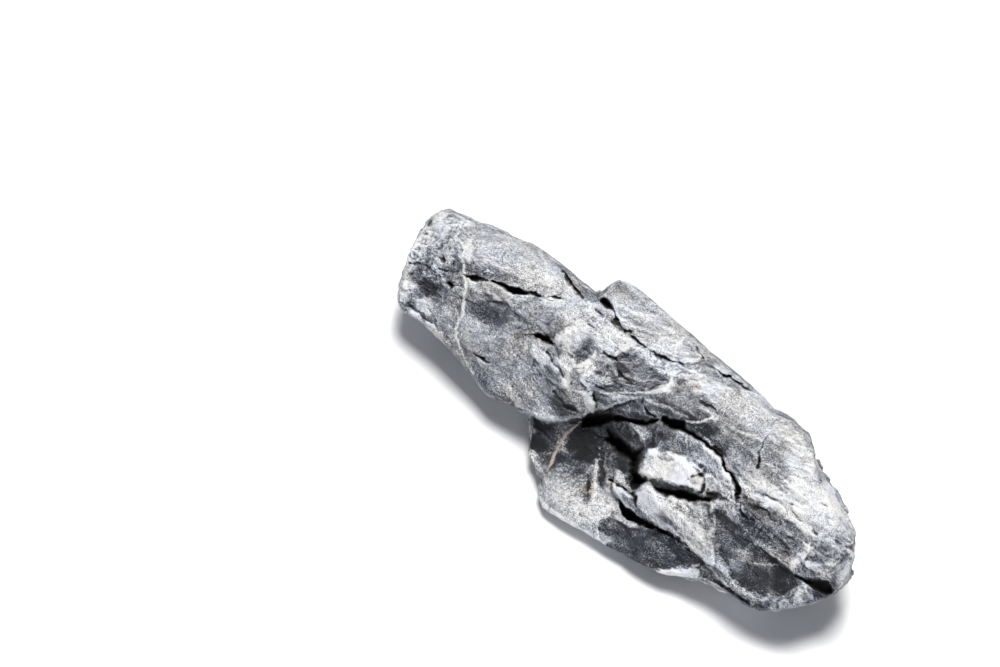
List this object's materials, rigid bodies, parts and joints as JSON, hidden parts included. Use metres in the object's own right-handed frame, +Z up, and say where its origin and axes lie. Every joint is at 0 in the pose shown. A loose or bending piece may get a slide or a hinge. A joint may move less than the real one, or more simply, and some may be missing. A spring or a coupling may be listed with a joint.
{
  "type": "seiryu stone",
  "caption": "Long weathered grey limestone piece with cracks, hollows, ledges and white calcite veins, lying on its back; hardscape rock for an aquarium or a garden layout.",
  "frame": {"origin": "centre of the bounding box in plan, on the surface the stone lies on", "axes": "+X along the stone towards its rounded nose, +Z up, the detailed face looking up and towards +X, -Y"},
  "size_m": [0.2444, 0.0888, 0.0662],
  "materials": {
    "stone": "rough weathered grey limestone with white and cream calcite veins and brown stains"
  },
  "bodies": {
    "root": {"stone": "stone"}
  },
  "joints": []
}
